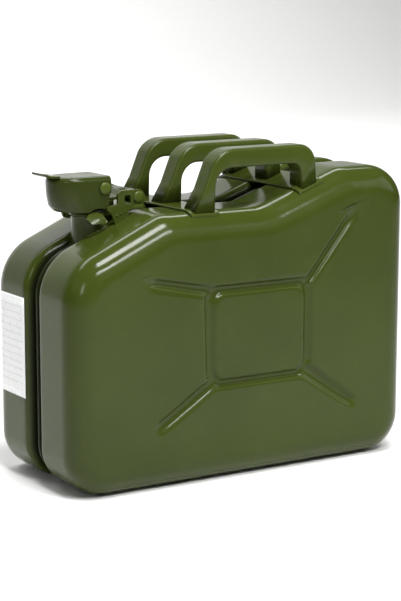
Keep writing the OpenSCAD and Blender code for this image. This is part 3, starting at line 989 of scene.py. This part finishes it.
def seal_ring():
    """Rubber ring inside the cap, with rounded edges."""
    lo, hi = box_mm("cap_gasket")
    r, foot, top = hi[1], lo[2], hi[2]
    return lathe("seal_ring", [
        (12.9, foot + 0.3), (13.1, foot), (r - 0.4, foot), (r, foot + 0.35), (r, top - 0.2), (r - 0.3, top),
        (13.2, top), (12.9, top - 0.3)], NECK_X, 96)


green(cap_dish(), "cap", "cap_pan")
finish_piece(seal_ring(), "cap", rubber, "black_rubber", "cap_gasket")
RIM_Z = box_mm("cap_pan")[1][2]          # top of the cap's rim
ARM_HALF = 10.3
BARREL_R = 4.8


def hinge_arm():
    """Tongue from the cap's rim to the hinge."""
    x, z = HINGE
    line = [
        (-86, RIM_Z, 0.3), (-69, RIM_Z, 4), (-66, z - 4.2, 2), (x, z - 4.4, 0), (x, z + 4.4, 0),
        (-68, z + 3, 3), (-72, RIM_Z + 1.8, 3), (-86, RIM_Z + 1.8, 0.8)]
    return slab("hinge_arm", rounded(line, 6), -ARM_HALF, ARM_HALF, 0.4, 3)


def hinge_barrel():
    """Rolled eye of the tongue, with a groove on each side where the tongue ends."""
    end = box_mm("cap_hinge_arm")[1][1]
    half = [(4.8, 10.4), (4.55, 10.7), (BARREL_R, 11), (BARREL_R, end - 0.5), (4.3, end), (0, end)]
    return turned_y("hinge_barrel", [(r, -y) for r, y in half[::-1]] + half, *HINGE, 64)


green(hinge_arm(), "cap", "cap_hinge_arm")
green(hinge_barrel(), "cap")

pivot_lo, pivot_hi = box_mm("lever_pin")
PIVOT = ((pivot_lo[0] + pivot_hi[0]) / 2, (pivot_lo[2] + pivot_hi[2]) / 2)
for side in ("near", "far"):
    lo, hi = box_mm("lever_bracket_" + side)
    ear = [(PIVOT[0] - 5, lo[2], 0.5), (PIVOT[0] + 5, lo[2], 0.5)] + sharp(arc(PIVOT, 4.4, 0, 180, 20))
    green(slab("pivot_ear_" + side, rounded(ear, 4), lo[1], hi[1], 0.3, 2), "cap", "lever_bracket_" + side)

# ---------------------------------------------------------------- lever
nose_lo, nose_hi = box_mm("lever_nose")
LEVER_R, NOSE_X, SKIRT = nose_hi[1], nose_hi[0], nose_lo[2]
LID = nose_hi[2] + 2
FOLD = 3.6                               # outer radius between the sides and the lid
LEVER_T = 1.5
ARCH_R = 10.2


def over_arch(x):
    """Lower edge of the lever's side at x: the skirt, raised in an arch over the lug."""
    return max(SKIRT, ARCH[1] + math.sqrt(max(0.0, ARCH_R ** 2 - (x - ARCH[0]) ** 2)))


def lever_path():
    """Lower edge from the rear of one side round the nose to the other: (x, outward y, outward x, z)."""
    side = [(-83, 197.4), (-84.3, 195.3), (-84.9, 191), (-85.3, 187.4), (-86.4, 186.3)]
    arch_x = (-87.7, -89, -90.5, -92, -93.5, -95, -96.5, -98, -98.9, -99.6, -101.5)
    side += [(x, over_arch(x)) for x in arch_x]
    nose = [math.pi * (k / 32 - 0.5) for k in range(33)]
    path = [(x, -1.0, 0.0, z) for x, z in side]
    path += [(NOSE_X, math.sin(a), math.cos(a), SKIRT) for a in nose]
    return path + [(x, 1.0, 0.0, z) for x, z in side[::-1]]


def lever_row(kind, f, t):
    """One row of the lever's skin, t below its surface: on the side, round the fold or over the lid."""
    row = []
    for x, ny, nx, low in lever_path():
        if kind == "side":
            z, d = mix(low, LID - FOLD, f), t
        elif kind == "fold":
            a = math.radians(f)
            z, d = LID - FOLD + (FOLD - t) * math.sin(a), FOLD - (FOLD - t) * math.cos(a)
        else:
            z, d = LID - t, mix(FOLD, LEVER_R, f)
        # the nose draws in towards its lower edge
        d += (0.12 * max(0.0, 200 - z) + 0.11 * max(0.0, 190.5 - z) ** 2) * abs(nx)
        row.append((x - nx * (LEVER_R - d), ny * (LEVER_R - d), z))
    return row


def lever_press():
    """The lever's sides, nose and lid as one pressing."""
    heights = [("side", f) for f in (0, 0.06, 0.2, 0.45, 0.7, 1)]
    heights += [("fold", a) for a in (15, 30, 45, 60, 75, 90)]
    heights += [("lid", f) for f in (0.15, 0.5, 0.85, 1.0)]
    outer, inner = ([lever_row(kind, f, t) for kind, f in heights] for t in (0.0, LEVER_T))
    return two_skins("lever_press", outer, inner, close_last=False)


def lever_tail():
    """Thumb tab in front of the lid, turned up at its end."""
    line = about((NOSE_X, LID), [
        (-13.1, -0.6, 0.3), (-20.7, -0.1, 4), (-24.5, 1.4, 0.8), (-24.1, 3, 0.8), (-20.5, 1.6, 4),
        (-13.1, 1.0, 0.3)])
    return slab("lever_tail", rounded(line, 6), -10, 10, 0.4, 3)


LEVER_NODES = ["lever_cheek_near", "lever_cheek_far", "lever_nose", "lever_bridge"]
green(soften(lever_press(), 0.3, 2, 50), "lever", *LEVER_NODES)
green(lever_tail(), "lever")

# ---------------------------------------------------------------- sticker
def sticker():
    """Paper over the flat of the filler end that bends round onto the side."""
    lo, hi = box_mm("data_label")
    bend = HT - EDGE_R
    grids = []
    for r in (EDGE_R + 0.23, EDGE_R + 0.03):
        line = [(-HW + EDGE_R - r, mix(lo[1], bend, k / 10)) for k in range(11)]
        turns = [math.radians(a) for a in range(3, 34, 3)]
        line += [(-HW + EDGE_R - r * math.cos(a), bend + r * math.sin(a)) for a in turns]
        heights = [mix(lo[2], hi[2], k / 8) for k in range(9)]
        grids.append([[(x, y, z) for x, y in line] for z in heights])
    return two_skins("sticker", grids[0], grids[1])


finish_piece(sticker(), "tank", paper, "label_paper", "data_label")

# ---------------------------------------------------------------- floor, backdrop, lights, camera
STUDIO_X, FRONT_Y, BACK_Y = 6, -6, 2.4   # the floor's half width, its front edge and where the wall starts
COVE_R, WALL_TOP, COVE_STEPS = 1.2, 5.0, 16
floor = make_object("floor", [
    (-STUDIO_X, FRONT_Y, 0), (STUDIO_X, FRONT_Y, 0), (STUDIO_X, BACK_Y, 0), (-STUDIO_X, BACK_Y, 0),
], [(0, 1, 2, 3)], False)
floor_paint, _, floor_shader = new_material("floor")
floor_shader.inputs["Base Color"].default_value = (0.86, 0.86, 0.85, 1)
floor_shader.inputs["Roughness"].default_value = 0.6
dress(floor, floor_paint)
cove = []
for k in range(COVE_STEPS + 1):
    a = math.radians(90 * k / COVE_STEPS)
    cove.append((BACK_Y + COVE_R * math.sin(a), COVE_R - COVE_R * math.cos(a)))
cove.append((BACK_Y + COVE_R, WALL_TOP))
backdrop = make_object(
    "backdrop",
    [(x, y, z) for y, z in cove for x in (-STUDIO_X, STUDIO_X)],
    [(2 * k, 2 * k + 1, 2 * k + 3, 2 * k + 2) for k in range(len(cove) - 1)])
dress(backdrop, floor_paint)


def area_light(name, loc, target, sx, sy, power):
    """Rectangular light at loc that faces the target."""
    d = bpy.data.lights.new(name, "AREA")
    d.shape = "RECTANGLE"
    d.size, d.size_y = sx, sy
    d.energy = power
    ob = bpy.data.objects.new(name, d)
    bpy.context.scene.collection.objects.link(ob)
    ob.location = loc
    ob.rotation_mode = "QUATERNION"
    ob.rotation_quaternion = (Vector(target) - Vector(loc)).to_track_quat("-Z", "Y")
    return ob


area_light("overhead", (-0.02, -0.64, 0.74), (-0.05, 0.0, 0.16), 0.52, 0.12, 6.5)
area_light("fill", (0.7, -2.0, 1.5), (0.05, 0.0, 0.1), 2.0, 1.5, 5)
area_light("left", (-1.0, -0.75, 0.62), (-0.13, -0.05, 0.14), 0.2, 0.35, 1.9)
area_light("top", (-0.10, -0.38, 1.30), (-0.09, -0.04, 0.17), 0.44, 0.34, 17)
area_light("right", (1.5, -0.9, 0.9), (0.1, 0.0, 0.08), 1.2, 1.0, 6)
area_light("back", (0.2, 1.3, 2.2), (0.0, 2.9, 0.2), 3.0, 1.2, 112)
world = bpy.data.worlds.new("studio")
bpy.context.scene.world = world
world.use_nodes = True
bg = world.node_tree.nodes["Background"]
bg.inputs["Color"].default_value = (1, 1, 1, 1)
bg.inputs["Strength"].default_value = 0.03

AZIMUTH, ELEVATION, DISTANCE = math.radians(32.0), math.radians(11.0), 1.300
aim = Vector((-0.0026, 0, PANEL_Z * MM))
level = math.cos(ELEVATION)
away = Vector((-math.sin(AZIMUTH) * level, -math.cos(AZIMUTH) * level, math.sin(ELEVATION)))
cam_data = bpy.data.cameras.new("camera")
cam = bpy.data.objects.new("camera", cam_data)
bpy.context.scene.collection.objects.link(cam)
cam.location = aim + away * DISTANCE
cam.rotation_mode = "QUATERNION"
cam.rotation_quaternion = (-away).to_track_quat("-Z", "Y")
cam_data.sensor_width = 36
cam_data.lens = 110.7
cam_data.shift_y = 0.0318
cam_data.clip_start, cam_data.clip_end = 0.05, 50
cam_data.dof.use_dof = False
bpy.context.scene.camera = cam
bpy.context.scene.view_settings.view_transform = "Standard"
